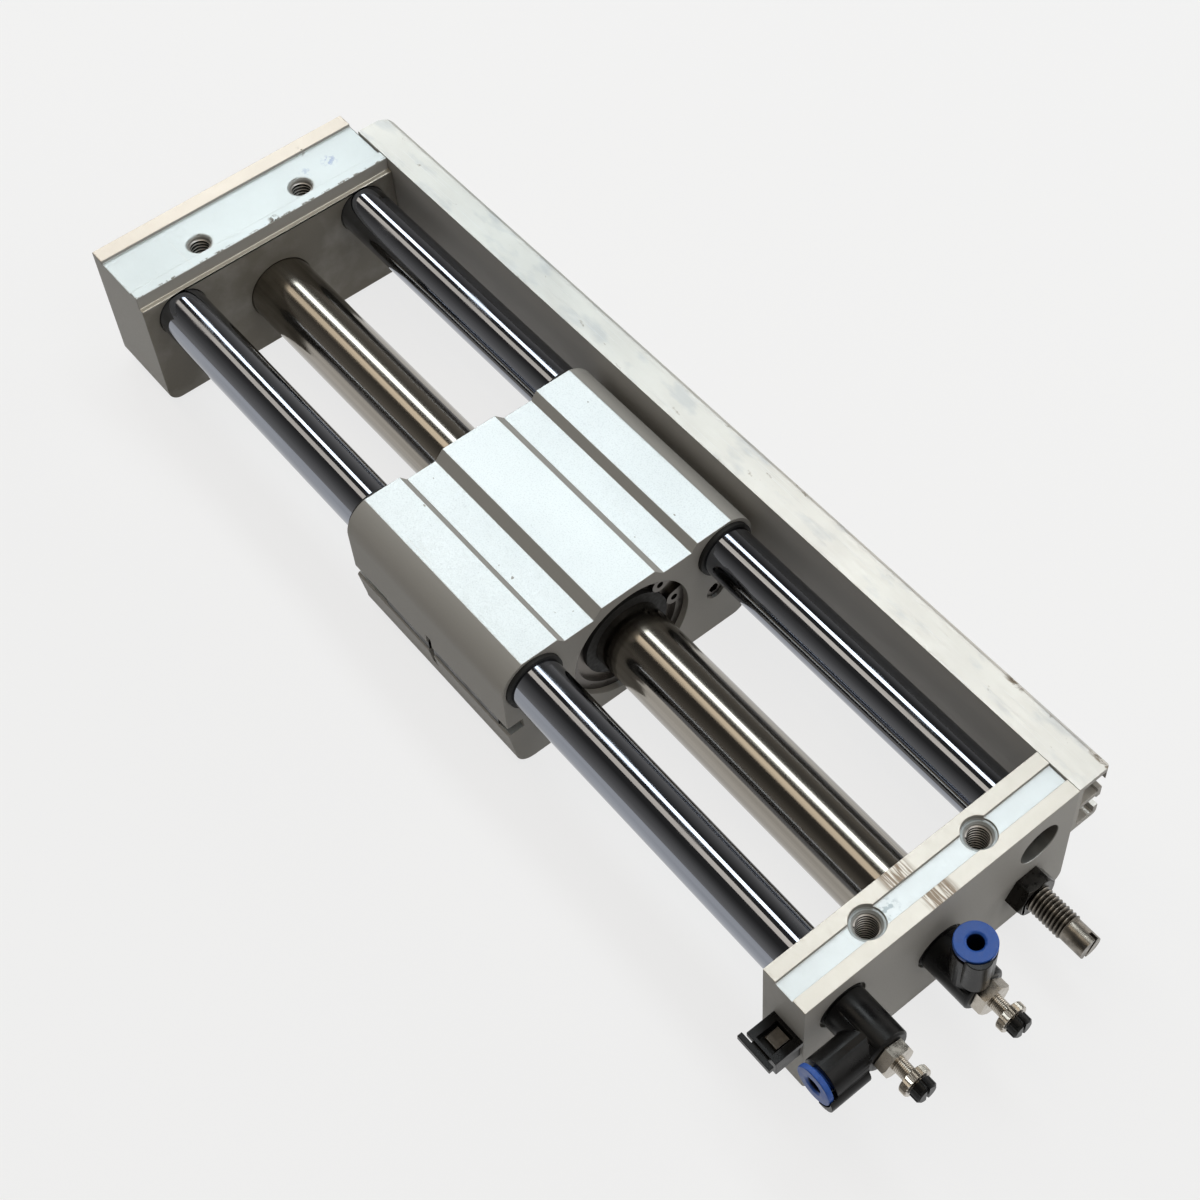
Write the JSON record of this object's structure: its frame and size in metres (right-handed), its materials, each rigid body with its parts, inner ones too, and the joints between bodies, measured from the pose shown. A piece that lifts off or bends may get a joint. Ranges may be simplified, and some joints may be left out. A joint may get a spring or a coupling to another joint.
{
  "type": "rodless pneumatic cylinder",
  "caption": "Magnetically coupled rodless air cylinder: slide block on guide rods between end plates, with switch rail, shock absorber and elbow flow controllers",
  "frame": {"origin": "centre of the four mounting threads, 4 mm under the end plates' mounting face", "axes": "+X along the stroke from the plain plate to the port plate, +Y towards the switch rail, +Z out of the mounting face"},
  "size_m": [0.3529, 0.1132, 0.048],
  "materials": {
    "anodised_aluminium": "satin",
    "hard_chrome": "mirror",
    "stainless_tube": "polished",
    "bright_steel": "satin",
    "dark_steel": "blackened",
    "magnet_alloy": "satin",
    "nickel_plated_brass": "nickel plated",
    "black_anodised": "black anodised",
    "dry_bush": "matt",
    "black_rubber": "matt",
    "black_plastic": "satin",
    "blue_plastic": "satin"
  },
  "bodies": {
    "frame": {"near_end_plate": "anodised_aluminium", "far_end_plate": "anodised_aluminium", "guide_rod_left": "hard_chrome", "guide_rod_right": "hard_chrome", "cylinder_tube": "stainless_tube", "tube_gaskets": "black_rubber", "rod_set_screws": "dark_steel", "rod_end_screw": "dark_steel", "switch_rail": "anodised_aluminium", "rail_screws": "bright_steel", "absorber_body": "dark_steel", "absorber_nut": "dark_steel", "flow_bodies": "nickel_plated_brass", "stem_seals": "black_rubber", "side_clip": "black_plastic", "clip_insert": "bright_steel"},
    "carriage": {"slide_block": "anodised_aluminium", "guide_bushes": "dry_bush", "rod_scrapers": "black_rubber", "outer_magnets": "magnet_alloy", "outer_yokes": "bright_steel", "end_collars": "black_anodised", "tube_wear_rings": "dry_bush", "tube_scrapers": "black_rubber", "retaining_rings": "dark_steel", "stop_pad": "dark_steel", "slot_strip": "black_plastic", "switch_magnet": "bright_steel"},
    "piston": {"piston_shaft": "hard_chrome", "inner_magnets": "magnet_alloy", "inner_yokes": "bright_steel", "pistons": "black_anodised", "piston_seals": "black_rubber", "piston_wear_rings": "bright_steel", "piston_bumpers": "black_rubber"},
    "absorber_plunger": {"absorber_rod": "hard_chrome"},
    "elbow_swivel_left": {"elbow_left": "black_plastic"},
    "release_left": {"release_ring_left": "blue_plastic"},
    "lock_left": {"lock_nut_left": "nickel_plated_brass"},
    "adjuster_left": {"knob_left": "black_plastic", "needle_left": "nickel_plated_brass"},
    "elbow_swivel_right": {"elbow_right": "black_plastic"},
    "release_right": {"release_ring_right": "blue_plastic"},
    "lock_right": {"lock_nut_right": "nickel_plated_brass"},
    "adjuster_right": {"knob_right": "black_plastic", "needle_right": "nickel_plated_brass"}
  },
  "joints": [
    {"name": "carriage_slide", "type": "slide", "parent": "frame", "child": "carriage", "axis": [1, 0, 0], "range_m": [-0.1007, 0.0993]},
    {"name": "piston_slide", "type": "slide", "parent": "frame", "child": "piston", "axis": [1, 0, 0], "range_m": [-0.1007, 0.0993]},
    {"name": "absorber_press", "type": "slide", "parent": "frame", "child": "absorber_plunger", "axis": [1, 0, 0], "range_m": [0, 0.006], "stiffness_N_per_m": 377, "springref_m": -0.0052},
    {"name": "elbow_turn_left", "type": "hinge", "parent": "frame", "child": "elbow_swivel_left", "pos_m": [0.1675, -0.0331, -0.0086], "axis": [1, 0, 0], "range_deg": [-90, 90]},
    {"name": "release_press_left", "type": "slide", "parent": "elbow_swivel_left", "child": "release_left", "axis": [0, 1, 0], "range_m": [0, 0.0007], "stiffness_N_per_m": 800, "springref_m": -0.0005},
    {"name": "lock_turn_left", "type": "hinge", "parent": "frame", "child": "lock_left", "pos_m": [0.18, -0.0331, -0.0086], "axis": [1, 0, 0], "range_deg": [-360, 360]},
    {"name": "knob_turn_left", "type": "hinge", "parent": "frame", "child": "adjuster_left", "pos_m": [0.184, -0.0331, -0.0086], "axis": [1, 0, 0], "range_deg": [-1440, 1440]},
    {"name": "elbow_turn_right", "type": "hinge", "parent": "frame", "child": "elbow_swivel_right", "pos_m": [0.1675, 0, -0.0212], "axis": [1, 0, 0], "range_deg": [-90, 90]},
    {"name": "release_press_right", "type": "slide", "parent": "elbow_swivel_right", "child": "release_right", "axis": [0, 0, -1], "range_m": [0, 0.0007], "stiffness_N_per_m": 800, "springref_m": -0.0005},
    {"name": "lock_turn_right", "type": "hinge", "parent": "frame", "child": "lock_right", "pos_m": [0.18, 0, -0.0212], "axis": [1, 0, 0], "range_deg": [-360, 360]},
    {"name": "knob_turn_right", "type": "hinge", "parent": "frame", "child": "adjuster_right", "pos_m": [0.184, 0, -0.0212], "axis": [1, 0, 0], "range_deg": [-1440, 1440]}
  ],
  "couplings": [
    {"joint": "piston_slide", "follows": "carriage_slide", "ratio": 1}
  ]
}
